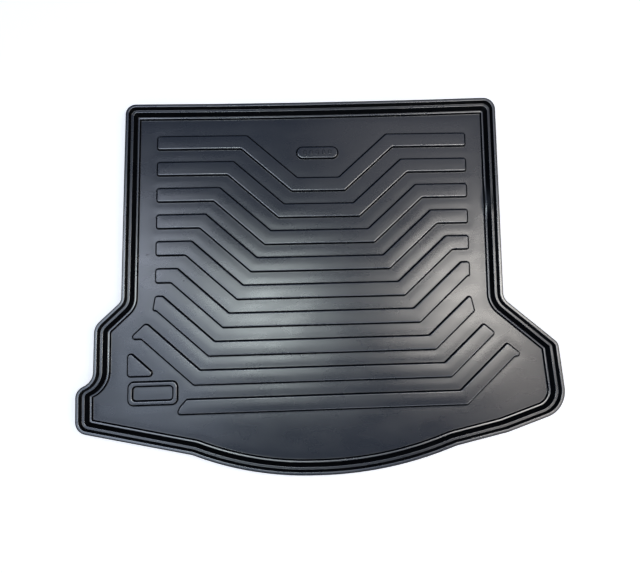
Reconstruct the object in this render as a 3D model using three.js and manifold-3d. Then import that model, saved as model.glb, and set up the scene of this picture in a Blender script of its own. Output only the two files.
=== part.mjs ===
// Moulded car boot liner, in one piece: a shallow tray with a stepped rim and raised chevron bands.
// The sheet has one thickness all over, so every raised pad and the kerb are hollow beneath.
// Millimetres, +Z up, the front of the boot towards +Y. The underside lies on z = 0.
import * as THREE from 'three';
import Module from 'manifold-3d';

const wasm = await Module();
wasm.setup();

// Sheet and colour
const sheet = 3;
const blackPlastic = new THREE.MeshStandardMaterial({ color: 0x24272e, roughness: 0.42, metalness: 0 });

// Corners of the outer edge in plan, each with its fillet radius
const frontRight = { x: 436, y: 435, radius: 30 };
const frontMiddle = { x: -9, y: 424, radius: 30000 };
const frontLeft = { x: -449, y: 426, radius: 26 };
const leftBend = { x: -451.5, y: -41, radius: 21 };
const leftShoulder = { x: -510, y: -96, radius: 36 };
const notchInside = { x: -509.5, y: -217, radius: 33 };
const notchOutside = { x: -547, y: -234.5, radius: 27 };
const rearLeft = { x: -545, y: -325.5, radius: 29 };
const bellyStart = { x: -292.5, y: -381.5, radius: 56 };
const bellyLeft = { x: -164, y: -432.5, radius: 718 };
const bellyRight = { x: 132, y: -436.5, radius: 860 };
const bellyEnd = { x: 291.5, y: -382.5, radius: 99 };
const rearFlank = { x: 409.5, y: -357.5, radius: 131 };
const rearRight = { x: 550, y: -312, radius: 64 };
const rightShoulder = { x: 541, y: -162, radius: 21 };
const rightBend = { x: 421, y: -57, radius: 30 };

// The outer edge, anticlockwise from above
const outline = [
  frontRight, frontMiddle, frontLeft, leftBend, leftShoulder, notchInside, notchOutside, rearLeft,
  bellyStart, bellyLeft, bellyRight, bellyEnd, rearFlank, rearRight, rightShoulder, rightBend,
];

// Rim section from the floor outwards: how far each stretch runs outwards and how far it climbs
const kerb = { run: 3.2, climb: 4 };
const ledge = { run: 3.1, climb: 0.8 };
const wall = { run: 8, climb: 10.4 };
const terrace = { run: 5, climb: 1 };
const upperWall = { run: 3.2, climb: 9.6 };
const lip = { run: 7.3, climb: 1 };
const flangeDrop = 6;
const edgeRadius = 2.5;
const edgeSteps = 3;
const tightestRadius = 1;

// Raised pads
const padHeight = 5;
const padSideRun = 4;
const padMargin = 69.5;
const padCornerRadius = 5.5;
const padClearance = 6;

// Chevron bands, counted from the front
const bandCount = 9;
const bandAxisX = 1;
const firstBandY = 248;
const bandPitch = 64;
const bandWidth = 33;
const armRise = 107;
const armAngle = THREE.MathUtils.degToRad(42);
const firstKneeX = 49.5;
const kneeStep = 33;
const kneeLag = 14.3;
const kneeRadius = 8;
const shortestWing = 4;

// Ring and triangle in the rear left corner
const ringWidth = 110;
const ringDepth = 52;
const ringBand = 10;
const ringFrontY = -222;
const ringRadius = 13;
const ringInnerRadius = 8;
const triangleGap = 12;
const triangleShift = 2;
const triangleSetback = 4;
const triangleRadius = 7;
const dipFrontInset = 3;
const dipRearOutset = 5;
const ringClearance = 14;
const dipRadius = 15;

// Blank plate near the front edge, with a row of plain pips
const plateWidth = 99;
const plateDepth = 29;
const plateY = 310;
const pipCount = 5;
const pipPitch = 15;
const pipWidth = 7;
const pipDepth = 12;
const pipHeight = 1;
const pipSideRun = 1;

// Fineness of the fillets, and how much of an edge two fillets may take up
const chordError = 0.35;
const fewestSteps = 2;
const mostSteps = 8;
const edgeUse = 0.98;

// How far cutting shapes run past the faces they cut
const overcut = 1;

function subtract(a, b) {
  return { x: a.x - b.x, y: a.y - b.y };
}

function unit(a) {
  const length = Math.hypot(a.x, a.y);
  return { x: a.x / length, y: a.y / length };
}

function cross(a, b) {
  return a.x * b.y - a.y * b.x;
}

function dot(a, b) {
  return a.x * b.x + a.y * b.y;
}

// Point where the line through a along u meets the line through b along v
function meet(a, u, b, v) {
  const t = cross(subtract(b, a), v) / cross(u, v);
  return { x: a.x + u.x * t, y: a.y + u.y * t };
}

// Corners of the same closed shape moved inwards by a distance, with radii that keep the edges parallel
function inset(corners, distance) {
  const count = corners.length;
  const edges = corners.map((corner, i) => {
    const along = unit(subtract(corners[(i + 1) % count], corner));
    return { along, start: { x: corner.x - along.y * distance, y: corner.y + along.x * distance } };
  });
  return corners.map((corner, i) => {
    const before = edges[(i + count - 1) % count];
    const after = edges[i];
    const point = meet(before.start, before.along, after.start, after.along);
    const turnsLeft = cross(before.along, after.along) > 0;
    const radius = turnsLeft ? corner.radius - distance : corner.radius + distance;
    return { x: point.x, y: point.y, radius: Math.max(tightestRadius, radius) };
  });
}

// Turn angle at each corner, and how far its fillet reaches along both edges
function turns(corners) {
  const count = corners.length;
  return corners.map((corner, i) => {
    const before = unit(subtract(corner, corners[(i + count - 1) % count]));
    const after = unit(subtract(corners[(i + 1) % count], corner));
    const angle = Math.atan2(cross(before, after), dot(before, after));
    return { before, after, angle, reach: corner.radius * Math.tan(Math.abs(angle) / 2) };
  });
}

// Number of straight steps that follow each fillet closely enough
function filletSteps(corners) {
  return turns(corners).map(({ angle }, i) => {
    const radius = Math.max(corners[i].radius, 2 * chordError);
    const step = 2 * Math.acos(1 - chordError / radius);
    return Math.min(mostSteps, Math.max(fewestSteps, Math.ceil(Math.abs(angle) / step)));
  });
}

// Points round each fillet, which is limited by its two edges
function filletArcs(corners, steps) {
  const count = corners.length;
  const turn = turns(corners);
  const share = corners.map((corner, i) => {
    const next = (i + 1) % count;
    const edge = subtract(corners[next], corner);
    return Math.min(1, edgeUse * Math.hypot(edge.x, edge.y) / (turn[i].reach + turn[next].reach));
  });
  return corners.map((corner, i) => {
    const { before, angle, reach } = turn[i];
    const fit = Math.min(share[i], share[(i + count - 1) % count]);
    const side = Math.sign(angle);
    const radius = corner.radius * fit;
    const start = { x: corner.x - before.x * reach * fit, y: corner.y - before.y * reach * fit };
    const centre = { x: start.x - before.y * radius * side, y: start.y + before.x * radius * side };
    const first = Math.atan2(start.y - centre.y, start.x - centre.x);
    return Array.from({ length: steps[i] + 1 }, (_, step) => {
      const turned = first + angle * step / steps[i];
      return new THREE.Vector2(centre.x + radius * Math.cos(turned), centre.y + radius * Math.sin(turned));
    });
  });
}

// Closed row of points along the edges and round the fillets
function trace(corners, steps) {
  return filletArcs(corners, steps).flat();
}

// Closed solid through a stack of rings with equal counts, its two ends capped flat
function loft(rings) {
  const size = rings[0].points.length;
  const vertices = rings.flatMap(({ points, z }) => points.flatMap((point) => [point.x, point.y, z]));
  const triangles = [];
  for (let level = 0; level < rings.length - 1; level++) {
    for (let i = 0; i < size; i++) {
      const a = level * size + i;
      const b = level * size + (i + 1) % size;
      triangles.push(a, b, b + size, a, b + size, a + size);
    }
  }
  const last = (rings.length - 1) * size;
  for (const [a, b, c] of THREE.ShapeUtils.triangulateShape(rings[0].points, [])) {
    triangles.push(c, b, a);
  }
  for (const [a, b, c] of THREE.ShapeUtils.triangulateShape(rings[rings.length - 1].points, [])) {
    triangles.push(last + a, last + b, last + c);
  }
  return new wasm.Manifold(new wasm.Mesh({
    numProp: 3,
    vertProperties: new Float32Array(vertices),
    triVerts: new Uint32Array(triangles),
  }));
}

const rimStretches = [kerb, ledge, wall, terrace, upperWall, lip];
const rimWidth = rimStretches.reduce((sum, { run }) => sum + run, 0);

// Upper face of the rim, as distance in from the outer edge and height
function rimProfile() {
  let inward = rimWidth;
  let z = sheet;
  const profile = [{ x: inward, y: z }];
  for (const { run, climb } of rimStretches) {
    inward -= run;
    z += climb;
    profile.push({ x: inward, y: z });
  }
  profile.push({ x: inward, y: z - flangeDrop });
  return profile;
}

// Lower face of the same sheet, one thickness beneath and mitred at each bend
function underProfile(profile) {
  const normals = [{ x: 0, y: -1 }];
  for (let i = 1; i < profile.length; i++) {
    const along = unit(subtract(profile[i], profile[i - 1]));
    normals.push({ x: -along.y, y: along.x });
  }
  normals.push(normals[normals.length - 1]);
  return profile.map((point, i) => {
    const before = normals[i];
    const after = normals[i + 1];
    const scale = sheet / (1 + dot(before, after));
    return { x: point.x + (before.x + after.x) * scale, y: point.y + (before.y + after.y) * scale };
  });
}

// The lip's outer corner rounded over, from the flange's outer face to the lip's top
function roundedEdge(corner, lipStart) {
  const along = unit(subtract(corner, lipStart));
  const angle = Math.PI / 2 + Math.atan2(along.y, -along.x);
  const centre = { x: edgeRadius, y: corner.y - edgeRadius * Math.tan(angle / 2) };
  return Array.from({ length: edgeSteps + 1 }, (_, step) => {
    const turned = angle * step / edgeSteps;
    return { x: centre.x - edgeRadius * Math.cos(turned), y: centre.y + edgeRadius * Math.sin(turned) };
  });
}

function tray() {
  const upper = rimProfile();
  const corner = upper.length - 2;
  const section = [
    ...underProfile(upper),
    upper[corner + 1],
    ...roundedEdge(upper[corner], upper[corner - 1]),
    ...upper.slice(0, corner).reverse(),
  ];
  const steps = filletSteps(outline);
  return loft(section.map(({ x, y }) => ({ points: trace(inset(outline, x), steps), z: y })));
}

// Solid with sloping sides, whose corners stand further in at one height than at another
function frustum(corners, ...levels) {
  const steps = filletSteps(corners);
  return loft(levels.map(({ z, inwards }) => ({ points: trace(inset(corners, inwards), steps), z })));
}

// How far in from the middle of its side a pad's upper face stands at a height
function sideInset(z) {
  return padSideRun * ((z - sheet) / padHeight - 0.5);
}

const padTop = sheet + padHeight;
const padFoot = sheet - overcut;
const sideMitre = sheet * Math.tan(Math.atan2(padHeight, padSideRun) / 2);

function raisedPad(corners) {
  const foot = { z: padFoot, inwards: sideInset(padFoot) };
  const top = { z: padTop, inwards: sideInset(padTop) };
  return frustum(corners, foot, top);
}

// The hollow beneath a pad, one thickness below its upper face
function padHollow(corners) {
  const mouth = { z: padFoot - sheet, inwards: sideInset(padFoot) + sideMitre };
  const ceiling = { z: padHeight, inwards: sideInset(padTop) + sideMitre };
  return frustum(corners, mouth, ceiling);
}

// The well inside a ring, and what stays solid beneath it
function ringWell(corners) {
  const above = padTop + overcut;
  const foot = { z: padFoot, inwards: -sideInset(padFoot) };
  return frustum(corners, foot, { z: above, inwards: -sideInset(above) });
}

function ringCore(corners) {
  const above = padTop + overcut;
  const mouth = { z: padFoot - sheet, inwards: -sideInset(padFoot) - sideMitre };
  return frustum(corners, mouth, { z: above - sheet, inwards: -sideInset(above) - sideMitre });
}

function rectangle(x, y, width, depth, radius) {
  return [
    { x: x - width / 2, y: y - depth / 2, radius },
    { x: x + width / 2, y: y - depth / 2, radius },
    { x: x + width / 2, y: y + depth / 2, radius },
    { x: x - width / 2, y: y + depth / 2, radius },
  ];
}

// The pads keep one margin to the outer edge, so the bands run out along lines parallel to its sides
const marginCorners = inset(outline, padMargin);

function marginCorner(corner) {
  return marginCorners[outline.indexOf(corner)];
}

function past(from, through) {
  return { x: 2 * through.x - from.x, y: 2 * through.y - from.y };
}

// The margin beside one side wall, carried on straight past its first and last corner
function marginLine(start, bends, end) {
  const arcs = filletArcs(marginCorners, filletSteps(marginCorners));
  const bend = bends.flatMap((corner) => arcs[outline.indexOf(corner)]);
  const first = past(bend[0], marginCorner(start));
  const last = past(bend[bend.length - 1], marginCorner(end));
  return [first, ...bend, last];
}

const leftMargin = marginLine(frontLeft, [leftBend, leftShoulder], notchInside);
const rightMargin = marginLine(rearRight, [rightShoulder, rightBend], frontRight);

// Where the stretch from a to b first crosses a line of points, if it does
function crossing(a, b, line) {
  const along = subtract(b, a);
  let nearest = Infinity;
  for (let i = 1; i < line.length; i++) {
    const edge = subtract(line[i], line[i - 1]);
    const bend = cross(along, edge);
    const t = cross(subtract(line[i - 1], a), edge) / bend;
    const s = cross(subtract(line[i - 1], a), along) / bend;
    if (t >= 0 && t <= 1 && s >= 0 && s <= 1) {
      nearest = Math.min(nearest, t);
    }
  }
  return nearest === Infinity ? null : { x: a.x + along.x * nearest, y: a.y + along.y * nearest };
}

// One edge of a band on one side of its middle: knee, shoulder and end.
// Where the margin leaves no room for a wing past the shoulder, the arm runs on straight to the margin.
function bandArm(side, kneeX, y) {
  const margin = side < 0 ? leftMargin : rightMargin;
  const armRun = armRise / Math.tan(armAngle);
  const knee = { x: bandAxisX + side * kneeX, y, radius: kneeRadius };
  const shoulder = { x: knee.x + side * armRun, y: y + armRise, radius: kneeRadius };
  const along = unit(subtract(shoulder, knee));
  const wingless = { x: shoulder.x + along.x * shortestWing, y: shoulder.y + along.y * shortestWing };
  const cut = crossing(knee, wingless, margin);
  if (cut) {
    return [knee, { ...cut, radius: padCornerRadius }];
  }
  const outside = { x: 2 * (side < 0 ? rearLeft.x : rearRight.x), y: shoulder.y };
  return [knee, shoulder, { ...crossing(shoulder, outside, margin), radius: padCornerRadius }];
}

// A band's corners: its rear edge from left to right, then its front edge from right to left
function bandCorners(index) {
  const frontY = firstBandY - index * bandPitch;
  const rearY = frontY - bandWidth;
  const frontKneeX = firstKneeX + index * kneeStep;
  const rearKneeX = frontKneeX + kneeLag;
  const rightSide = [...bandArm(1, rearKneeX, rearY), ...bandArm(1, frontKneeX, frontY).reverse()];
  if (index === bandCount - 1) {
    return [...lastBandEnd(frontKneeX, frontY, rearKneeX, rearY), ...rightSide];
  }
  return [...bandArm(-1, frontKneeX, frontY), ...bandArm(-1, rearKneeX, rearY).reverse(), ...rightSide];
}

// The last band has no left arm: it stops near its knees, with a dip that clears the ring's corner
function lastBandEnd(frontKneeX, frontY, rearKneeX, rearY) {
  const front = { x: bandAxisX - frontKneeX + dipFrontInset, y: frontY, radius: padCornerRadius };
  const rear = { x: bandAxisX - rearKneeX - dipRearOutset, y: rearY, radius: padCornerRadius };
  const ringCorner = { x: ringX + ringWidth / 2 - ringRadius, y: ringY - ringDepth / 2 + ringRadius };
  const towards = unit(subtract({ x: front.x, y: rear.y }, ringCorner));
  const reach = ringRadius + ringClearance;
  const dipX = ringCorner.x + towards.x * reach;
  const dipY = ringCorner.y + towards.y * reach;
  return [front, { x: dipX, y: dipY, radius: dipRadius }, rear];
}

// The ring and the triangle line up with the margin beside them
const ringX = marginCorner(leftShoulder).x + ringWidth / 2;
const ringY = ringFrontY - ringDepth / 2;
const ringOuter = rectangle(ringX, ringY, ringWidth, ringDepth, ringRadius);
const wellWidth = ringWidth - 2 * ringBand;
const wellDepth = ringDepth - 2 * ringBand;
const ringInner = rectangle(ringX, ringY, wellWidth, wellDepth, ringInnerRadius);

// The triangle's long side stands back from the line of the last band's missing arm
function triangleCorners() {
  const lastBandY = firstBandY - (bandCount - 1) * bandPitch;
  const lastKneeX = bandAxisX - firstKneeX - (bandCount - 1) * kneeStep;
  const left = marginCorner(leftShoulder).x - triangleShift;
  const rear = ringFrontY + triangleGap;
  const sideX = lastKneeX - triangleSetback - (rear - lastBandY) / Math.tan(armAngle);
  const sideY = rear + (sideX - left) * Math.tan(armAngle);
  return [
    { x: left, y: rear, radius: triangleRadius },
    { x: sideX, y: rear, radius: triangleRadius },
    { x: left, y: sideY, radius: triangleRadius },
  ];
}

const plateCorners = rectangle(bandAxisX, plateY, plateWidth, plateDepth, plateDepth / 2);

// Plain pips in a row on the plate
function plainPips() {
  return Array.from({ length: pipCount }, (_, i) => {
    const x = bandAxisX + (i - (pipCount - 1) / 2) * pipPitch;
    const corners = rectangle(x, plateY, pipWidth, pipDepth, pipWidth / 2);
    const foot = { z: padTop - overcut, inwards: 0 };
    return frustum(corners, foot, { z: padTop + pipHeight, inwards: pipSideRun });
  });
}

// The pads stop short of the rim's foot
const padRoom = inset(outline, rimWidth + padClearance);

function linerSolid() {
  const bands = Array.from({ length: bandCount }, (_, i) => bandCorners(i));
  const pads = [...bands, triangleCorners(), plateCorners];
  const ring = raisedPad(ringOuter).subtract(ringWell(ringInner));
  const ringHollow = padHollow(ringOuter).subtract(ringCore(ringInner));
  let solid = tray().add(ring);
  for (const pad of pads) {
    solid = solid.add(raisedPad(pad).intersect(raisedPad(padRoom)));
  }
  for (const pip of plainPips()) {
    solid = solid.add(pip);
  }
  solid = solid.subtract(ringHollow);
  for (const pad of pads) {
    solid = solid.subtract(padHollow(pad).intersect(padHollow(padRoom)));
  }
  return solid;
}

function geometryOf(solid) {
  const { numProp, vertProperties, triVerts } = solid.getMesh();
  const positions = new Float32Array(vertProperties.length / numProp * 3);
  for (let i = 0; i < positions.length / 3; i++) {
    positions.set(vertProperties.subarray(i * numProp, i * numProp + 3), i * 3);
  }
  const geometry = new THREE.BufferGeometry();
  geometry.setAttribute('position', new THREE.BufferAttribute(positions, 3));
  geometry.setIndex(new THREE.BufferAttribute(triVerts, 1));
  geometry.computeVertexNormals();
  geometry.computeBoundingBox();
  return geometry;
}

// The origin is under the middle of the liner's box
const liner = new THREE.Mesh(geometryOf(linerSolid()), blackPlastic);
liner.name = 'boot_liner';
const box = liner.geometry.boundingBox;
liner.position.set(-(box.min.x + box.max.x) / 2, -(box.min.y + box.max.y) / 2, -box.min.z);

const group = new THREE.Group();
group.add(liner);
export default group;
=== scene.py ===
"""Looks of a moulded car boot liner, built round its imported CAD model.

The liner's own lengths are in millimetres, as in the CAD source, until its mesh is made in metres.
Lights, camera and floor are in metres.
"""

import math

import bmesh
import bpy
import numpy as np
from mathutils.geometry import delaunay_2d_cdt
from mathutils.kdtree import KDTree
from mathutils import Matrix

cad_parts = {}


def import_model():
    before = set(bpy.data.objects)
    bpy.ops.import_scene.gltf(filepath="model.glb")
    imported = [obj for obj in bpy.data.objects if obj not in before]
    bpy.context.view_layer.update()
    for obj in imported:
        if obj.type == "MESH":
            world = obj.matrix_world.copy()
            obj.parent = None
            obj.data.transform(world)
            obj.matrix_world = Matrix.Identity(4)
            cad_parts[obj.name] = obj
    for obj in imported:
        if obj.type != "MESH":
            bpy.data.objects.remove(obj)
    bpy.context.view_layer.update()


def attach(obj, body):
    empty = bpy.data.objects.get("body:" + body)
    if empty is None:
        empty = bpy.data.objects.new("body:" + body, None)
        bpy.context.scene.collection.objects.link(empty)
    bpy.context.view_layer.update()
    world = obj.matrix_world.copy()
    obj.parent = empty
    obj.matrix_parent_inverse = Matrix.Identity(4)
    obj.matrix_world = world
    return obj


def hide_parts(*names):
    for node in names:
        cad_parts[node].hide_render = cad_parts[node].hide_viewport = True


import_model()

MM = 0.001

# Sheet, and the corners of the outer edge in plan: x, y and fillet radius, anticlockwise from above
SHEET = 3.0
FRONT_RIGHT = (436, 435, 30)
FRONT_MIDDLE = (-9, 424, 30000)
FRONT_LEFT = (-449, 426, 26)
LEFT_BEND = (-451.5, -41, 21)
LEFT_SHOULDER = (-510, -96, 36)
NOTCH_INSIDE = (-509.5, -217, 33)
NOTCH_OUTSIDE = (-547, -234.5, 27)
REAR_LEFT = (-545, -325.5, 29)
BELLY_START = (-292.5, -381.5, 56)
BELLY_LEFT = (-164, -432.5, 718)
BELLY_RIGHT = (132, -436.5, 860)
BELLY_END = (291.5, -382.5, 99)
REAR_FLANK = (409.5, -357.5, 131)
REAR_RIGHT = (550, -312, 64)
RIGHT_SHOULDER = (541, -162, 21)
RIGHT_BEND = (421, -57, 30)
OUTLINE = [
    FRONT_RIGHT, FRONT_MIDDLE, FRONT_LEFT, LEFT_BEND, LEFT_SHOULDER, NOTCH_INSIDE, NOTCH_OUTSIDE,
    REAR_LEFT, BELLY_START, BELLY_LEFT, BELLY_RIGHT, BELLY_END, REAR_FLANK, REAR_RIGHT,
    RIGHT_SHOULDER, RIGHT_BEND,
]

# Rim section from the floor outwards: run, climb, and radius of the bend where the stretch starts.
# Ledge, terrace and lip are flatter than in the CAD model. The kerb and the upper wall make up for it.
KERB = (3.2, 4.4, 1.3)
LEDGE = (3.1, 0.4, 1.3)
WALL = (8.0, 10.4, 1.3)
TERRACE = (5.0, 0.3, 1.3)
UPPER_WALL = (3.2, 10.8, 1.3)
LIP = (7.3, 0.5, 1.3)
FLANGE_DROP = 6.0
EDGE_RADIUS = 2.5
FLANGE_FOOT_RADIUS = 0.8
UNDER_RADIUS = 0.6
FLOOR_LEAD = 2.6

# Raised pads
PAD_HEIGHT = 5.0
PAD_SIDE_RUN = 4.0
PAD_FOOT_RADIUS = 1.2
PAD_CROWN_RADIUS = 3.0
PAD_EDGE_LEAD = 2.9
PAD_MARGIN = 69.5
PAD_CORNER_RADIUS = 5.5
PAD_TOP = SHEET + PAD_HEIGHT

# Chevron bands, counted from the front
BAND_COUNT = 9
BAND_AXIS_X = 1.0
FIRST_BAND_Y = 248.0
BAND_PITCH = 64.0
BAND_WIDTH = 33.0
ARM_RISE = 107.0
ARM_ANGLE = math.radians(42)
FIRST_KNEE_X = 49.5
KNEE_STEP = 33.0
KNEE_LAG = 14.3
KNEE_RADIUS = 8.0
SHORTEST_WING = 4.0

# Ring and triangle in the rear left corner
RING_WIDTH = 110.0
RING_DEPTH = 52.0
RING_BAND = 10.0
RING_FRONT_Y = -222.0
RING_RADIUS = 13.0
RING_INNER_RADIUS = 8.0
TRIANGLE_GAP = 12.0
TRIANGLE_SHIFT = 2.0
TRIANGLE_SETBACK = 4.0
TRIANGLE_RADIUS = 7.0
DIP_FRONT_INSET = 3.0
DIP_REAR_OUTSET = 5.0
RING_CLEARANCE = 14.0
DIP_RADIUS = 15.0

# Plate near the front edge, with a row of plain pips
PLATE_WIDTH = 99.0
PLATE_DEPTH = 29.0
PLATE_Y = 310.0
PIP_COUNT = 5
PIP_PITCH = 15.0
PIP_WIDTH = 7.0
PIP_DEPTH = 12.0
PIP_HEIGHT = 1.0
PIP_SIDE_RUN = 1.0
PIP_EDGE_RADIUS = 0.5
PIP_EDGE_LEAD = 0.6

# Springing of the flats between their stiff steps
CROWN_HEIGHT = 0.40
CROWN_REACH = 7.0

# Slow waves in the sheet: length, heading in degrees, phase and height
WAVES = [(210, 20, 0.4, 0.12), (150, 75, 2.1, 0.09), (118, 130, 4.0, 0.06), (84, 160, 1.2, 0.035)]

# Small marks: place, radius and height
MARKS = [(-326.2, 307.7, 1.4, 0.5), (-402.3, 68.1, 1.4, 0.5), (-408.0, -158.0, 4.5, -0.22)]

# Dent at the foot of the right wall: place, radius across and along, and height
DENT_X = 405.0
DENT_Y = 180.0
DENT_ACROSS = 7.0
DENT_ALONG = 28.0
DENT_HEIGHT = 4.0

# Slopes in degrees between which a bend counts as a rounded edge
FLATTEST_EDGE = 8
STEEPEST_EDGE = 42

# Tightest fillet, share of an edge that two fillets may take, and share of a stretch that one bend may
TIGHTEST_RADIUS = 1.0
EDGE_USE = 0.98
STRETCH_USE = 0.49

# Fineness of the mesh
CHORD_ERROR = 0.06
FEWEST_STEPS = 4
BEND_STEPS = 4
LINE_SPACING = 9.0
PAD_SPACING = 14.0
FLOOR_SPACING = 7.0
UNDER_SPACING = 14.0
GRID_CLEARANCE = 2.5
MARK_STEPS = 12
MARK_RINGS = (0.35, 0.7, 1.1, 1.7, 2.5)

# Triangulation: bow of a straight edge, merging distance, kind of result, and places tested at once
EDGE_BOW = 0.0001
MERGE_DISTANCE = 0.000001
WHOLE_HULL = 0
PLACES_AT_ONCE = 1000


def cross(a, b):
    return a[..., 0] * b[..., 1] - a[..., 1] * b[..., 0]


def left_of(a):
    return np.stack([-a[..., 1], a[..., 0]], axis=-1)


def unit(a):
    return a / np.linalg.norm(a, axis=-1, keepdims=True)


def as_arrays(corners):
    table = np.array(corners, float)
    return table[:, :2], table[:, 2]


def inset(corners, distance):
    """Corners of the same closed shape moved inwards, with radii that keep the edges parallel."""
    points, radii = as_arrays(corners)
    after = unit(np.roll(points, -1, axis=0) - points)
    before = np.roll(after, 1, axis=0)
    from_before = points + left_of(before) * distance
    from_after = points + left_of(after) * distance
    bend = cross(before, after)
    reach = cross(from_after - from_before, after) / bend
    moved = from_before + before * reach[:, None]
    radii = np.maximum(TIGHTEST_RADIUS, radii - np.sign(bend) * distance)
    return np.column_stack([moved, radii])


def turns(corners):
    """Direction before each corner, its turn angle, and how far its fillet reaches along both edges."""
    points, radii = as_arrays(corners)
    after = unit(np.roll(points, -1, axis=0) - points)
    before = np.roll(after, 1, axis=0)
    angle = np.arctan2(cross(before, after), (before * after).sum(axis=1))
    return before, angle, radii * np.tan(np.abs(angle) / 2)


def fillet_arcs(corners, steps):
    """Points round each fillet, which is limited by its two edges."""
    points, radii = as_arrays(corners)
    before, angle, reach = turns(corners)
    length = np.linalg.norm(np.roll(points, -1, axis=0) - points, axis=1)
    share = np.minimum(1, EDGE_USE * length / (reach + np.roll(reach, -1)))
    fit = np.minimum(share, np.roll(share, 1))
    start = points - before * (reach * fit)[:, None]
    side = np.sign(angle)
    centre = start + left_of(before) * (radii * fit * side)[:, None]
    arcs = []
    for i, count in enumerate(steps):
        spoke = start[i] - centre[i]
        turned = angle[i] * np.linspace(0, 1, count + 1)[:, None]
        arcs.append(centre[i] + np.cos(turned) * spoke + np.sin(turned) * left_of(spoke))
    return arcs


def divisions(corners, spacing):
    """How many steps each fillet and each straight gets, the same for every inset of a shape."""
    radii = as_arrays(corners)[1]
    angle = np.abs(turns(corners)[1])
    step = 2 * np.arccos(1 - CHORD_ERROR / np.maximum(radii, 2 * CHORD_ERROR))
    fillets = np.maximum(np.ceil(angle / step), np.ceil(angle * radii / spacing))
    fillets = np.maximum(FEWEST_STEPS, fillets).astype(int)
    arcs = fillet_arcs(corners, fillets)
    straights = []
    for arc, following in zip(arcs, arcs[1:] + arcs[:1]):
        length = np.linalg.norm(following[0] - arc[-1])
        straights.append(max(1, math.ceil(length / spacing)))
    return fillets, straights


def trace(corners, plan):
    """Closed row of points along the edges and round the fillets.

    Each edge bows outwards by a hair, because points in line would leave slivers in the triangulation.
    """
    fillets, straights = plan
    arcs = fillet_arcs(corners, fillets)
    rows = []
    for arc, following, count in zip(arcs, arcs[1:] + arcs[:1], straights):
        step = np.arange(1, count)[:, None]
        along = (following[0] - arc[-1]) / count
        bow = left_of(unit(along)) * EDGE_BOW * step * (count - step)
        rows += [arc, arc[-1] + along * step - bow]
    return np.concatenate(rows)


def rounded(profile, radii):
    """A section line with its inner points rounded, each radius limited by the stretches beside it."""
    profile = np.array(profile, float)
    length = np.linalg.norm(np.diff(profile, axis=0), axis=1)
    points = [profile[0]]
    for i, radius in zip(range(1, len(profile) - 1), radii):
        before = unit(profile[i] - profile[i - 1])
        after = unit(profile[i + 1] - profile[i])
        angle = math.atan2(cross(before, after), before @ after)
        room = STRETCH_USE * min(length[i - 1], length[i])
        reach = min(room, radius * math.tan(abs(angle) / 2))
        fitted = reach / math.tan(abs(angle) / 2)
        start = profile[i] - before * reach
        spoke = -left_of(before) * fitted * np.sign(angle)
        turned = angle * np.linspace(0, 1, BEND_STEPS + 1)[:, None]
        points += list(start - spoke + spoke * np.cos(turned) + left_of(spoke) * np.sin(turned))
    points.append(profile[-1])
    return np.array(points)


class Shell:
    """A closed mesh that grows from rings of points, strips between them and flat fills.

    Each point carries a painted light mask, by which the plastic's specular level paints shade on steep
    steps and highlights on rounded edges.
    """

    def __init__(self):
        self.points = []
        self.painted_light_mask = []
        self.faces = []

    def ring(self, outline, z, painted_light_mask):
        first = len(self.points)
        self.points += [(x, y, z) for x, y in outline]
        self.painted_light_mask += [painted_light_mask] * len(outline)
        return np.arange(first, len(self.points))

    def strip(self, corners, section, spacing=LINE_SPACING):
        """Joins a ring at each point of the section, given as inset and height. Returns the end rings."""
        plan = divisions(corners, spacing)
        rings = []
        for (inwards, z), painted_light_mask in zip(section, painted_light_mask_of(section)):
            rings.append(self.ring(trace(inset(corners, inwards), plan), z, painted_light_mask))
        for a, b in zip(rings, rings[1:]):
            after_a, after_b = np.roll(a, -1), np.roll(b, -1)
            self.faces += np.column_stack([a, after_a, after_b, b]).tolist()
        return rings[0], rings[-1]

    def fill(self, outer, holes=(), spacing=None):
        """Flat area inside one ring and outside others, with a grid of points if it has a spacing."""
        loops = [outer, *holes]
        edges = loop_edges(loops)
        names = list(np.concatenate(loops))
        flat = np.array([self.points[name][:2] for name in names])
        if spacing:
            z = self.points[outer[0]][2]
            grid = grid_inside(flat, edges, spacing)
            extra = np.concatenate([grid, inside_only(fine_points(), flat, edges)])
            first = len(self.points)
            self.points += np.column_stack([extra, z + crowned(extra, flat, edges)]).tolist()
            self.painted_light_mask += [0] * len(extra)
            names += list(range(first, len(self.points)))
            flat = np.concatenate([flat, extra])
        result = delaunay_2d_cdt(flat.tolist(), edges.tolist(), [], WHOLE_HULL, MERGE_DISTANCE)
        triangles, origins = np.array(result[2]), [origin[0] for origin in result[3]]
        middles = flat[origins][triangles].mean(axis=1)
        kept = triangles[inside(middles, flat, edges)]
        self.faces += np.array(names)[origins][kept].tolist()


def loop_edges(loops):
    """Pairs of the numbers that each edge's ends have when the loops' points stand in one row."""
    edges, first = [], 0
    for loop in loops:
        index = np.arange(first, first + len(loop))
        edges.append(np.column_stack([index, np.roll(index, -1)]))
        first += len(loop)
    return np.concatenate(edges)


def painted_light_mask_of(section):
    """Painted light mask for each point of a section: -1 for painted shade where it is steep or falls, 1
    for a painted highlight on a rounded edge, else 0.
    """
    run, climb = np.diff(section, axis=0).T
    slope = np.degrees(np.arctan2(climb, np.abs(run)))
    before, after = np.append(slope[0], slope), np.append(slope, slope[-1])
    middle = (before + after) / 2
    edge = (before > after) & (middle > FLATTEST_EDGE)
    return np.where((middle > STEEPEST_EDGE) | (middle < -FLATTEST_EDGE), -1, np.where(edge, 1, 0))


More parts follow.
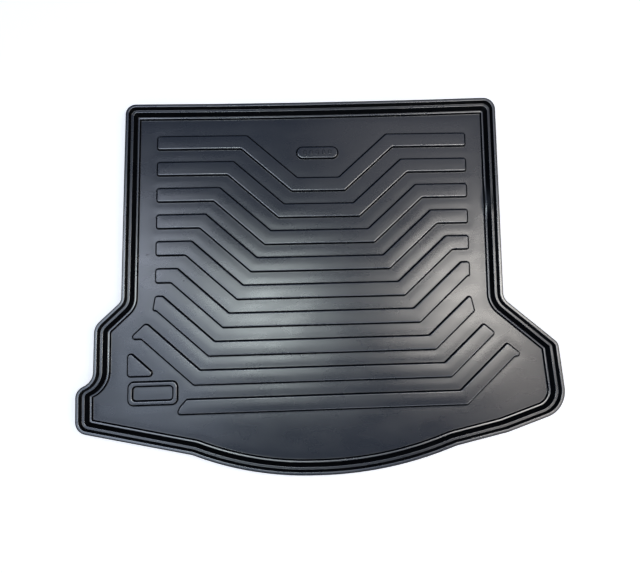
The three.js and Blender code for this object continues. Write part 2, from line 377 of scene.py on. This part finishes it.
def inside(places, flat, edges):
    """Whether each place lies within the loops, by how many edges a line to its right meets."""
    a, b = flat[edges[:, 0]], flat[edges[:, 1]]
    lean = (b[:, 0] - a[:, 0]) / np.where(a[:, 1] == b[:, 1], 1, b[:, 1] - a[:, 1])
    result = []
    for part in np.array_split(places, len(places) // PLACES_AT_ONCE + 1):
        x, y = part[:, :1], part[:, 1:]
        straddles = (a[:, 1] > y) != (b[:, 1] > y)
        met = straddles & (x < a[:, 0] + (y - a[:, 1]) * lean)
        result.append(met.sum(axis=1) % 2 == 1)
    return np.concatenate(result)


def edge_distance(places, flat, edges):
    """Distance from each place to the closer of the two edges that meet at its nearest loop point."""
    near = KDTree(len(flat))
    for i, (x, y) in enumerate(flat):
        near.insert((x, y, 0), i)
    near.balance()
    nearest = np.array([near.find((x, y, 0))[1] for x, y in places], int)
    edge_from = np.empty(len(flat), int)
    edge_from[edges[:, 0]] = edges[:, 1]
    edge_to = np.empty(len(flat), int)
    edge_to[edges[:, 1]] = edges[:, 0]
    distances = []
    for other in (edge_from[nearest], edge_to[nearest]):
        a, along = flat[nearest], flat[other] - flat[nearest]
        share = ((places - a) * along).sum(axis=1) / (along ** 2).sum(axis=1)
        foot = a + along * np.clip(share, 0, 1)[:, None]
        distances.append(np.linalg.norm(places - foot, axis=1))
    return np.minimum(*distances)


def grid_inside(flat, edges, spacing):
    """Points of an even triangular grid that lie within the loops and clear of them."""
    low, high = flat.min(axis=0), flat.max(axis=0)
    rows = np.arange(low[1], high[1], spacing * math.sqrt(3) / 2)
    columns = np.arange(low[0], high[0], spacing)
    x, y = np.meshgrid(columns, rows)
    x = x + (np.arange(len(rows)) % 2)[:, None] * spacing / 2
    return inside_only(np.column_stack([x.ravel(), y.ravel()]), flat, edges)


def inside_only(places, flat, edges):
    """The places that lie within the loops and clear of them."""
    places = places[inside(places, flat, edges)]
    return places[edge_distance(places, flat, edges) > GRID_CLEARANCE] if len(places) else places


def crowned(places, flat, edges):
    """How far a flat has sprung up away from the stiff steps round it."""
    if not len(places):
        return np.empty(0)
    return CROWN_HEIGHT * (1 - np.exp(-edge_distance(places, flat, edges) / CROWN_REACH))


def fine_points():
    """Extra points round each small mark, close enough to carry its shape."""
    middles = [np.array([[x, y]]) for x, y, _, _ in MARKS]
    circle = round_points(MARK_STEPS)
    rings = [(x, y) + circle * radius * share for x, y, radius, _ in MARKS for share in MARK_RINGS]
    return np.concatenate(middles + rings)


def round_points(count):
    """Even points round a circle of radius 1."""
    turned = np.linspace(0, 2 * math.pi, count, endpoint=False)
    return np.column_stack([np.cos(turned), np.sin(turned)])


def worn(points):
    """The liner's points with the waves, dent and marks of a thin moulding that has been handled."""
    x, y, z = points.T
    lift = np.zeros(len(points))
    for length, heading, phase, height in WAVES:
        turned = math.radians(heading)
        along = x * math.cos(turned) + y * math.sin(turned)
        lift += height * np.sin(2 * math.pi * along / length + phase)
    for mark_x, mark_y, radius, height in MARKS:
        lift += height * np.exp(-((x - mark_x) ** 2 + (y - mark_y) ** 2) / radius ** 2)
    return np.column_stack([x, y, z + lift + DENT_HEIGHT * dented(points)])


def dented(points):
    """How far each point lies in the dent: 1 at its middle, 0 well outside."""
    across = (points[:, 0] - DENT_X) / DENT_ACROSS
    along = (points[:, 1] - DENT_Y) / DENT_ALONG
    return np.exp(-across ** 2 - along ** 2)


def rim_profile():
    """Upper face of the rim from the floor to the flange's foot as inset and height, and bend radii."""
    stretches = [KERB, LEDGE, WALL, TERRACE, UPPER_WALL, LIP]
    inward = sum(run for run, _, _ in stretches)
    z = SHEET
    profile = [(inward, z)]
    for run, climb, _ in stretches:
        inward -= run
        z += climb
        profile.append((inward, z))
    profile.append((inward, z - FLANGE_DROP))
    return np.array(profile), [radius for _, _, radius in stretches]


def under_profile(profile):
    """Lower face of the same sheet, one thickness beneath and mitred at each bend."""
    along = unit(np.diff(profile, axis=0))
    normals = np.vstack([(0, -1), left_of(along), left_of(along[-1])])
    before, after = normals[:-1], normals[1:]
    scale = SHEET / (1 + (before * after).sum(axis=1))
    return profile + (before + after) * scale[:, None]


def rim_section():
    """The whole rim from the floor's upper face, over the lip and back to the floor's underside."""
    upper, radii = rim_profile()
    under = under_profile(upper)[::-1]
    lead = (FLOOR_LEAD, 0)
    line = np.vstack([upper[0] + lead, upper, under, under[-1] + lead])
    flange = [EDGE_RADIUS, FLANGE_FOOT_RADIUS, FLANGE_FOOT_RADIUS]
    return rounded(line, [*radii, *flange, *[UNDER_RADIUS] * (len(under) - 1)])


def side_inset(z):
    """How far in from the middle of its side a pad's upper face stands at a height."""
    return PAD_SIDE_RUN * ((z - SHEET) / PAD_HEIGHT - 0.5)


# Shift of a hollow's bends from those of the pad above, which keeps the sheet's thickness
SIDE_MITRE = SHEET * math.tan(math.atan2(PAD_HEIGHT, PAD_SIDE_RUN) / 2)


def step_line(foot, low, crown, high, lead):
    """A step up from one level to another, with a level lead before it and after it."""
    return [(foot - lead, low), (foot, low), (crown, high), (crown + lead, high)]


def pad_section(side=1):
    """Upper side of a pad from its foot to its top. Side -1 turns it round for the well of a ring."""
    foot, crown = side_inset(SHEET), side_inset(PAD_TOP)
    line = step_line(foot, SHEET, crown, PAD_TOP, PAD_EDGE_LEAD)
    return rounded(line, [PAD_FOOT_RADIUS, PAD_CROWN_RADIUS]) * (side, 1)


def hollow_section(side=1):
    """Under side of a pad from the mouth of its hollow to the ceiling."""
    mouth, ceiling = side_inset(SHEET) + SIDE_MITRE, side_inset(PAD_TOP) + SIDE_MITRE
    line = step_line(mouth, 0, ceiling, PAD_HEIGHT, UNDER_RADIUS)
    return rounded(line, [UNDER_RADIUS] * 2) * (side, 1)


def rectangle(x, y, width, depth, radius):
    return [
        (x - width / 2, y - depth / 2, radius),
        (x + width / 2, y - depth / 2, radius),
        (x + width / 2, y + depth / 2, radius),
        (x - width / 2, y + depth / 2, radius),
    ]


MARGIN_CORNERS = inset(OUTLINE, PAD_MARGIN)


def margin_corner(corner):
    return MARGIN_CORNERS[OUTLINE.index(corner)][:2]


def margin_line(start, bends, end):
    """The margin beside one side wall, carried on straight past its first and last corner."""
    arcs = fillet_arcs(MARGIN_CORNERS, divisions(MARGIN_CORNERS, LINE_SPACING)[0])
    bend = np.concatenate([arcs[OUTLINE.index(corner)] for corner in bends])
    first = 2 * margin_corner(start) - bend[0]
    last = 2 * margin_corner(end) - bend[-1]
    return np.vstack([first, bend, last])


LEFT_MARGIN = margin_line(FRONT_LEFT, [LEFT_BEND, LEFT_SHOULDER], NOTCH_INSIDE)
RIGHT_MARGIN = margin_line(REAR_RIGHT, [RIGHT_SHOULDER, RIGHT_BEND], FRONT_RIGHT)


def crossing(start, end, line):
    """Where the stretch from start to end first crosses a line of points, or None."""
    along = end - start
    edge = np.diff(line, axis=0)
    bend = cross(along, edge)
    bend = np.where(bend == 0, np.inf, bend)
    reach = cross(line[:-1] - start, edge) / bend
    place = cross(line[:-1] - start, along) / bend
    met = reach[(reach >= 0) & (reach <= 1) & (place >= 0) & (place <= 1)]
    return start + along * met.min() if len(met) else None


def band_arm(side, knee_x, y):
    """One edge of a band on one side of its middle: knee, shoulder and end at the margin."""
    margin = LEFT_MARGIN if side < 0 else RIGHT_MARGIN
    knee = np.array([BAND_AXIS_X + side * knee_x, y])
    shoulder = knee + (side * ARM_RISE / math.tan(ARM_ANGLE), ARM_RISE)
    wingless = shoulder + unit(shoulder - knee) * SHORTEST_WING
    cut = crossing(knee, wingless, margin)
    if cut is not None:
        return [(*knee, KNEE_RADIUS), (*cut, PAD_CORNER_RADIUS)]
    widest = REAR_LEFT if side < 0 else REAR_RIGHT
    outside = np.array([2 * widest[0], shoulder[1]])
    end = crossing(shoulder, outside, margin)
    return [(*knee, KNEE_RADIUS), (*shoulder, KNEE_RADIUS), (*end, PAD_CORNER_RADIUS)]


def band_corners(index):
    """A band's corners: its rear edge from left to right, then its front edge from right to left."""
    front_y = FIRST_BAND_Y - index * BAND_PITCH
    rear_y = front_y - BAND_WIDTH
    front_knee_x = FIRST_KNEE_X + index * KNEE_STEP
    rear_knee_x = front_knee_x + KNEE_LAG
    right = band_arm(1, rear_knee_x, rear_y) + band_arm(1, front_knee_x, front_y)[::-1]
    if index == BAND_COUNT - 1:
        return last_band_end(front_knee_x, front_y, rear_knee_x, rear_y) + right
    left = band_arm(-1, front_knee_x, front_y) + band_arm(-1, rear_knee_x, rear_y)[::-1]
    return left + right


def last_band_end(front_knee_x, front_y, rear_knee_x, rear_y):
    """The last band has no left arm: it stops at its knees, with a dip that clears the ring's corner."""
    front = np.array([BAND_AXIS_X - front_knee_x + DIP_FRONT_INSET, front_y])
    rear = np.array([BAND_AXIS_X - rear_knee_x - DIP_REAR_OUTSET, rear_y])
    ring_corner = np.array([RING_X + RING_WIDTH / 2 - RING_RADIUS, RING_Y - RING_DEPTH / 2 + RING_RADIUS])
    towards = unit(np.array([front[0], rear[1]]) - ring_corner)
    dip = ring_corner + towards * (RING_RADIUS + RING_CLEARANCE)
    return [(*front, PAD_CORNER_RADIUS), (*dip, DIP_RADIUS), (*rear, PAD_CORNER_RADIUS)]


# The ring and the triangle line up with the margin beside them
CORNER_MARGIN_X = margin_corner(LEFT_SHOULDER)[0]
RING_X = CORNER_MARGIN_X + RING_WIDTH / 2
RING_Y = RING_FRONT_Y - RING_DEPTH / 2
RING_OUTER = rectangle(RING_X, RING_Y, RING_WIDTH, RING_DEPTH, RING_RADIUS)
RING_INNER = rectangle(
    RING_X, RING_Y, RING_WIDTH - 2 * RING_BAND, RING_DEPTH - 2 * RING_BAND, RING_INNER_RADIUS
)
PLATE = rectangle(BAND_AXIS_X, PLATE_Y, PLATE_WIDTH, PLATE_DEPTH, PLATE_DEPTH / 2)


def triangle_corners():
    """The triangle's long side stands back from the line of the last band's missing arm."""
    last_front_y = FIRST_BAND_Y - (BAND_COUNT - 1) * BAND_PITCH
    last_knee_x = BAND_AXIS_X - FIRST_KNEE_X - (BAND_COUNT - 1) * KNEE_STEP
    left = CORNER_MARGIN_X - TRIANGLE_SHIFT
    rear = RING_FRONT_Y + TRIANGLE_GAP
    side_x = last_knee_x - TRIANGLE_SETBACK - (rear - last_front_y) / math.tan(ARM_ANGLE)
    side_y = rear + (side_x - left) * math.tan(ARM_ANGLE)
    return [
        (left, rear, TRIANGLE_RADIUS),
        (side_x, rear, TRIANGLE_RADIUS),
        (left, side_y, TRIANGLE_RADIUS),
    ]


def plate_pips(shell):
    """Plain pips in a row on the plate. Returns the rings where they stand on it."""
    top = PAD_TOP + PIP_HEIGHT
    line = step_line(0, PAD_TOP, PIP_SIDE_RUN, top, PIP_EDGE_LEAD)
    section = rounded(line, [PIP_EDGE_RADIUS] * 2)
    feet = []
    for i in range(PIP_COUNT):
        x = BAND_AXIS_X + (i - (PIP_COUNT - 1) / 2) * PIP_PITCH
        foot, crown = shell.strip(rectangle(x, PLATE_Y, PIP_WIDTH, PIP_DEPTH, PIP_WIDTH / 2), section)
        shell.fill(crown)
        feet.append(foot)
    return feet


def liner_shell():
    """The whole liner: its rim, the floor with its raised pads, and the hollows beneath them."""
    shell = Shell()
    floor_edge, under_edge = shell.strip(OUTLINE, rim_section())
    feet, mouths = [], []
    for index in range(BAND_COUNT):
        pad(shell, band_corners(index), feet, mouths)
    pad(shell, triangle_corners(), feet, mouths)
    pad(shell, PLATE, feet, mouths, plate_pips(shell))
    outer_foot, outer_crown = shell.strip(RING_OUTER, pad_section(), PAD_SPACING)
    well_foot, well_crown = shell.strip(RING_INNER, pad_section(-1), PAD_SPACING)
    outer_mouth, outer_ceiling = shell.strip(RING_OUTER, hollow_section(), PAD_SPACING)
    core_mouth, core_ceiling = shell.strip(RING_INNER, hollow_section(-1), PAD_SPACING)
    shell.fill(outer_crown, [well_crown])
    shell.fill(outer_ceiling, [core_ceiling])
    shell.fill(well_foot, spacing=FLOOR_SPACING)
    shell.fill(core_mouth)
    shell.fill(floor_edge, [*feet, outer_foot], FLOOR_SPACING)
    shell.fill(under_edge, [*mouths, outer_mouth], UNDER_SPACING)
    return shell


def pad(shell, corners, feet, mouths, holes=()):
    """One raised pad with its hollow. The foot and the mouth join the rings that bound the floor."""
    foot, crown = shell.strip(corners, pad_section(), PAD_SPACING)
    mouth, ceiling = shell.strip(corners, hollow_section(), PAD_SPACING)
    shell.fill(crown, holes, FLOOR_SPACING)
    shell.fill(ceiling)
    feet.append(foot)
    mouths.append(mouth)


def liner_object():
    """The liner's mesh, centred over the frame's origin and resting on its plane."""
    shell = liner_shell()
    moulded = np.array(shell.points)
    # The painted shade and highlights fade out in the dent
    painted_light_mask = np.array(shell.painted_light_mask) * (1 - dented(moulded))
    points = worn(moulded)
    low, high = points.min(axis=0), points.max(axis=0)
    points -= ((low[0] + high[0]) / 2, (low[1] + high[1]) / 2, low[2])
    mesh = bpy.data.meshes.new("liner_shell")
    mesh.from_pydata((points * MM).tolist(), [], shell.faces)
    mesh.attributes.new("painted_light_mask", "FLOAT", "POINT").data.foreach_set("value", painted_light_mask)
    face_outwards(mesh)
    mesh.shade_smooth()
    piece = bpy.data.objects.new("liner_shell", mesh)
    bpy.context.scene.collection.objects.link(piece)
    piece.modifiers.new("weighted_normals", "WEIGHTED_NORMAL")
    return piece


def face_outwards(mesh):
    edit = bmesh.new()
    edit.from_mesh(mesh)
    bmesh.ops.recalc_face_normals(edit, faces=edit.faces)
    edit.to_mesh(mesh)
    edit.free()


# Plastic: colour where it is fresh and where it is worn
BASE_COLOUR = (0.0016, 0.0018, 0.0023, 1)
WORN_COLOUR = (0.0026, 0.0028, 0.0034, 1)
IOR = 1.6

# Specular level of the flats, and the levels that paint shade on steep steps and highlights on rounded
# edges
SPECULAR_LEVEL = 1.0
PAINTED_SHADE_LEVEL = 0.12
PAINTED_HIGHLIGHT_LEVEL = 2.2

# Noises: features to the metre, detail, and stretch along X
BLOTCHES = (7, 3, 1)
SMEARS = (26, 2, 2.5)
RIPPLES = (34, 1, 1.6)
STREAKS = (240, 2, 5)
GRAIN = (1500, 2, 1)

# Stretch of a noise's values that counts, what the smears make of it, and heights of bumps in metres
BLOTCH_VALUES = (0.35, 0.65)
SMEAR_VALUES = (0.3, 0.7)
SMEAR_ROUGHNESS = (0.25, 0.31)
RIPPLE_HEIGHT = 0.00003
STREAK_HEIGHT = 0.00003
GRAIN_HEIGHT = 0.000012


def map_range(nodes, links, value, source, target):
    """The value carried from the source stretch to the target stretch, and held at its ends."""
    spread = nodes.new("ShaderNodeMapRange")
    for name, limit in zip(("From Min", "From Max", "To Min", "To Max"), (*source, *target)):
        spread.inputs[name].default_value = limit
    links.new(value, spread.inputs["Value"])
    return spread.outputs["Result"]


def painted_light_specular_level(nodes, links):
    """Specular level with painted shade on steep steps and painted highlights on rounded edges, by the
    mesh's painted light mask.
    """
    painted_light_mask = nodes.new("ShaderNodeAttribute")
    painted_light_mask.attribute_name = "painted_light_mask"
    value = painted_light_mask.outputs["Fac"]
    level = nodes.new("ShaderNodeMath")
    level.operation = "ADD"
    links.new(map_range(nodes, links, value, (-1, 0), (PAINTED_SHADE_LEVEL, SPECULAR_LEVEL)), level.inputs[0])
    links.new(map_range(nodes, links, value, (0, 1), (0, PAINTED_HIGHLIGHT_LEVEL - SPECULAR_LEVEL)), level.inputs[1])
    return level.outputs["Value"]


def liner_plastic():
    """Black satin plastic with a fine grain, faint drawing streaks, a slightly uneven gloss, and painted
    shade and highlights on its steps and edges.
    """
    material = bpy.data.materials.new("liner_plastic")
    material.use_nodes = True
    nodes, links = material.node_tree.nodes, material.node_tree.links
    shader = nodes["Principled BSDF"]
    shader.inputs["IOR"].default_value = IOR
    shader.inputs["Specular IOR Level"].default_value = SPECULAR_LEVEL
    # The specular level paints shade on steep steps and highlights on rounded edges
    links.new(painted_light_specular_level(nodes, links), shader.inputs["Specular IOR Level"])
    place = nodes.new("ShaderNodeTexCoord").outputs["Object"]

    def noise(scale, detail, stretch):
        along = nodes.new("ShaderNodeMapping")
        along.inputs["Scale"].default_value = (scale / stretch, scale, scale)
        links.new(place, along.inputs["Vector"])
        texture = nodes.new("ShaderNodeTexNoise")
        texture.inputs["Scale"].default_value = 1
        texture.inputs["Detail"].default_value = detail
        links.new(along.outputs["Vector"], texture.inputs["Vector"])
        return texture.outputs["Fac"]

    def bumped(height, distance, normal=None):
        bump = nodes.new("ShaderNodeBump")
        bump.inputs["Strength"].default_value = 1
        bump.inputs["Distance"].default_value = distance
        links.new(height, bump.inputs["Height"])
        if normal:
            links.new(normal, bump.inputs["Normal"])
        return bump.outputs["Normal"]

    colour = nodes.new("ShaderNodeMix")
    colour.data_type = "RGBA"
    colour.inputs["A"].default_value = BASE_COLOUR
    colour.inputs["B"].default_value = WORN_COLOUR
    wear = map_range(nodes, links, noise(*BLOTCHES), BLOTCH_VALUES, (0, 1))
    links.new(wear, colour.inputs["Factor"])
    links.new(colour.outputs["Result"], shader.inputs["Base Color"])
    roughness = map_range(nodes, links, noise(*SMEARS), SMEAR_VALUES, SMEAR_ROUGHNESS)
    links.new(roughness, shader.inputs["Roughness"])
    ripples = bumped(noise(*RIPPLES), RIPPLE_HEIGHT)
    streaks = bumped(noise(*STREAKS), STREAK_HEIGHT, ripples)
    links.new(bumped(noise(*GRAIN), GRAIN_HEIGHT, streaks), shader.inputs["Normal"])
    return material


# Camera, as the photograph's viewpoint fits the bands: metres, degrees and millimetres
CAMERA_PLACE = (-0.0498, -0.1570, 1.1636)
CAMERA_TILT = 6.970
CAMERA_YAW = -2.327
CAMERA_ROLL = -1.426
CAMERA_LENS = 28.125
SENSOR_WIDTH = 36.0


def camera():
    data = bpy.data.cameras.new("camera")
    data.lens = CAMERA_LENS
    data.sensor_width = SENSOR_WIDTH
    data.sensor_fit = "HORIZONTAL"
    eye = bpy.data.objects.new("camera", data)
    eye.rotation_mode = "ZYX"
    eye.rotation_euler = [math.radians(angle) for angle in (CAMERA_TILT, CAMERA_YAW, CAMERA_ROLL)]
    eye.location = CAMERA_PLACE
    bpy.context.scene.collection.objects.link(eye)
    bpy.context.scene.camera = eye


# Soft boxes: place, size, radiance and colour. Some hang level, and the others lean to face the liner
HANGING_BOXES = {
    "left_box": ((-1.20, 0.46, 2.0), (0.8, 0.55), 3.1, (0.91, 0.98, 1.15)),
    "left_rear_box": ((-0.98, -0.29, 2.0), (0.85, 0.9), 1.2, (0.86, 0.98, 1.18)),
    "middle_box": ((-0.34, 0.06, 2.0), (0.61, 0.54), 6.0, (0.94, 1.04, 1.03)),
    "centre_box": ((0.12, 0.0, 2.0), (0.36, 1.3), 0.44, (0.94, 1.0, 1.05)),
    "right_box": ((1.04, 0.13, 2.0), (0.70, 0.64), 6.0, (1.06, 1.01, 0.94)),
    "right_front_box": ((1.18, 0.60, 2.0), (0.34, 0.24), 4.6, (1.04, 1.0, 0.96)),
    "right_rear_box": ((1.45, -0.45, 2.0), (0.6, 1.0), 1.0, (1.12, 1.0, 0.88)),
    "ceiling_box": ((0.85, 1.25, 2.1), (1.4, 0.8), 0.50, (1.04, 0.99, 0.97)),
    "left_ceiling_box": ((-0.85, 1.25, 2.1), (1.6, 0.8), 0.12, (0.92, 0.98, 1.12)),
}
LEANING_BOXES = {
    "front_wall": ((0.2, -2.3, 2.0), (2.4, 0.6), 1.6, (0.96, 1.0, 1.06)),
    "front_right_wall": ((1.9, -1.6, 1.9), (1.3, 0.6), 4.0, (1.0, 1.0, 1.0)),
    "front_left_wall": ((-1.9, -1.6, 1.9), (1.2, 0.6), 1.6, (0.96, 1.0, 1.06)),
    "right_wall": ((2.3, 0.1, 1.9), (1.2, 0.6), 3.0, (1.04, 1.0, 0.95)),
    "left_wall": ((-2.3, 0.0, 1.9), (1.2, 0.6), 2.0, (0.92, 1.0, 1.10)),
}

# Room: strength at the horizon and overhead, and the heights between which it changes
SKY_COLOUR = (0.60, 0.88, 1.56, 1)
SKY_STRENGTH = (0.03, 0.16)
SKY_CHANGE = (0.30, 0.75)

# Floor
FLOOR_RADIUS = 6.0
FLOOR_SIDES = 64
FLOOR_COLOUR = (0.86, 0.86, 0.86, 1)
FLOOR_LIFT = 0.50


def soft_box(name, place, size, radiance, colour):
    data = bpy.data.lights.new(name, "AREA")
    data.shape = "RECTANGLE"
    data.size, data.size_y = size
    data.energy = radiance * math.pi * size[0] * size[1]
    data.color = colour
    lamp = bpy.data.objects.new(name, data)
    lamp.location = place
    bpy.context.scene.collection.objects.link(lamp)
    return lamp


def soft_boxes():
    for name, box in HANGING_BOXES.items():
        soft_box(name, *box)
    for name, box in LEANING_BOXES.items():
        lamp = soft_box(name, *box)
        lamp.rotation_euler = (-lamp.location).to_track_quat("-Z", "Y").to_euler()


def world():
    """Cool room light that is dimmer towards the horizon than overhead."""
    sky = bpy.data.worlds.new("studio")
    sky.use_nodes = True
    nodes, links = sky.node_tree.nodes, sky.node_tree.links
    background = nodes["Background"]
    background.inputs["Color"].default_value = SKY_COLOUR
    direction = nodes.new("ShaderNodeTexCoord").outputs["Generated"]
    axes = nodes.new("ShaderNodeSeparateXYZ")
    links.new(direction, axes.inputs["Vector"])
    strength = map_range(nodes, links, axes.outputs["Z"], SKY_CHANGE, SKY_STRENGTH)
    links.new(strength, background.inputs["Strength"])
    bpy.context.scene.world = sky


def floor():
    rim = np.column_stack([round_points(FLOOR_SIDES) * FLOOR_RADIUS, np.zeros(FLOOR_SIDES)])
    mesh = bpy.data.meshes.new("floor")
    mesh.from_pydata(rim.tolist(), [], [range(FLOOR_SIDES)])
    plane = bpy.data.objects.new("floor", mesh)
    bpy.context.scene.collection.objects.link(plane)
    plane.data.materials.append(floor_material())


def floor_material():
    """Pale matt floor that glows for the camera and in reflections, but casts no light by it."""
    material = bpy.data.materials.new("pale_floor")
    material.use_nodes = True
    nodes, links = material.node_tree.nodes, material.node_tree.links
    shader = nodes["Principled BSDF"]
    shader.inputs["Base Color"].default_value = FLOOR_COLOUR
    shader.inputs["Roughness"].default_value = 1.0
    shader.inputs["Specular IOR Level"].default_value = 0.0
    shader.inputs["Emission Color"].default_value = (1, 1, 1, 1)
    path = nodes.new("ShaderNodeLightPath")
    seen = path.outputs["Is Camera Ray"]
    for name in ("Is Glossy Ray", "Is Transmission Ray"):
        either = nodes.new("ShaderNodeMath")
        either.operation = "MAXIMUM"
        links.new(seen, either.inputs[0])
        links.new(path.outputs[name], either.inputs[1])
        seen = either.outputs["Value"]
    lift = nodes.new("ShaderNodeMath")
    lift.operation = "MULTIPLY"
    lift.inputs[1].default_value = FLOOR_LIFT
    links.new(seen, lift.inputs[0])
    links.new(lift.outputs["Value"], shader.inputs["Emission Strength"])
    return material


camera()
world()
soft_boxes()
floor()

liner = liner_object()
liner.data.materials.append(liner_plastic())
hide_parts("boot_liner")
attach(liner, "root")

bpy.context.scene.view_settings.view_transform = "Standard"
